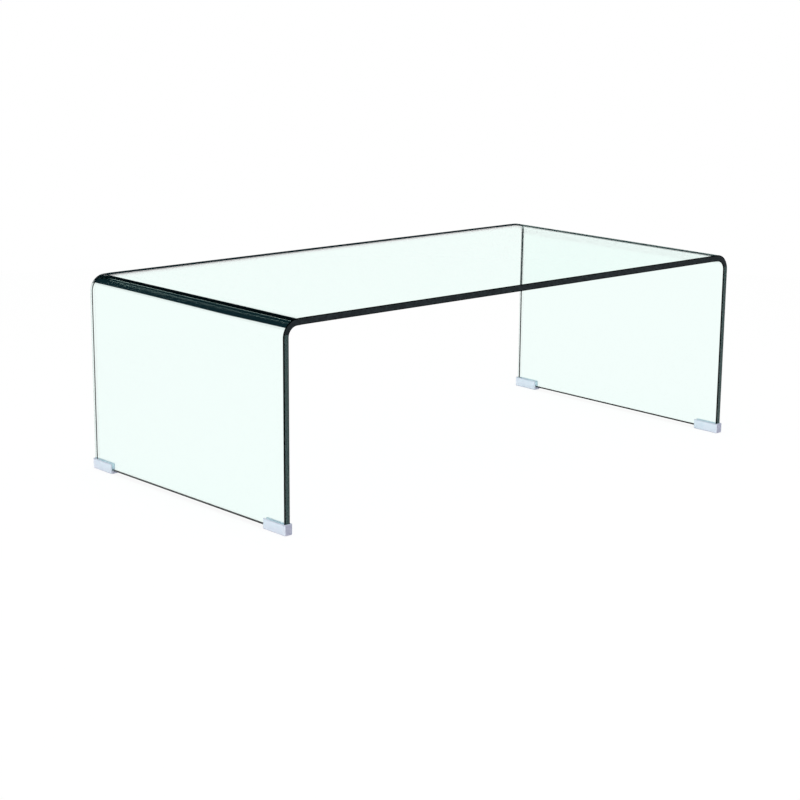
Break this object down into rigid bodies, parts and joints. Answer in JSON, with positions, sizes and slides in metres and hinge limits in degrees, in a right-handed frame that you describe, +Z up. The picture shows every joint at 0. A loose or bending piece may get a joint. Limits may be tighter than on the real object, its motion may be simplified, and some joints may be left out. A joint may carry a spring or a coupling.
{
  "type": "bent glass coffee table",
  "caption": "Low table bent from one sheet of clear glass, with a flat top that curves down into two legs and a clear plastic foot at each lower corner.",
  "frame": {"origin": "on the floor, midway between the four feet", "axes": "+X along the length of the top, +Y from the front edge to the back edge, +Z up"},
  "size_m": [1.1046, 0.5672, 0.358],
  "materials": {
    "float_glass": "polished clear float glass with a faint green-blue tint and ground, arrised edges",
    "clear_pvc": "translucent moulded soft plastic, pale blue-grey, lightly glossy"
  },
  "bodies": {
    "root": {"bent_glass": "float_glass", "foot_front_left": "clear_pvc", "foot_front_right": "clear_pvc", "foot_back_left": "clear_pvc", "foot_back_right": "clear_pvc"}
  },
  "joints": []
}
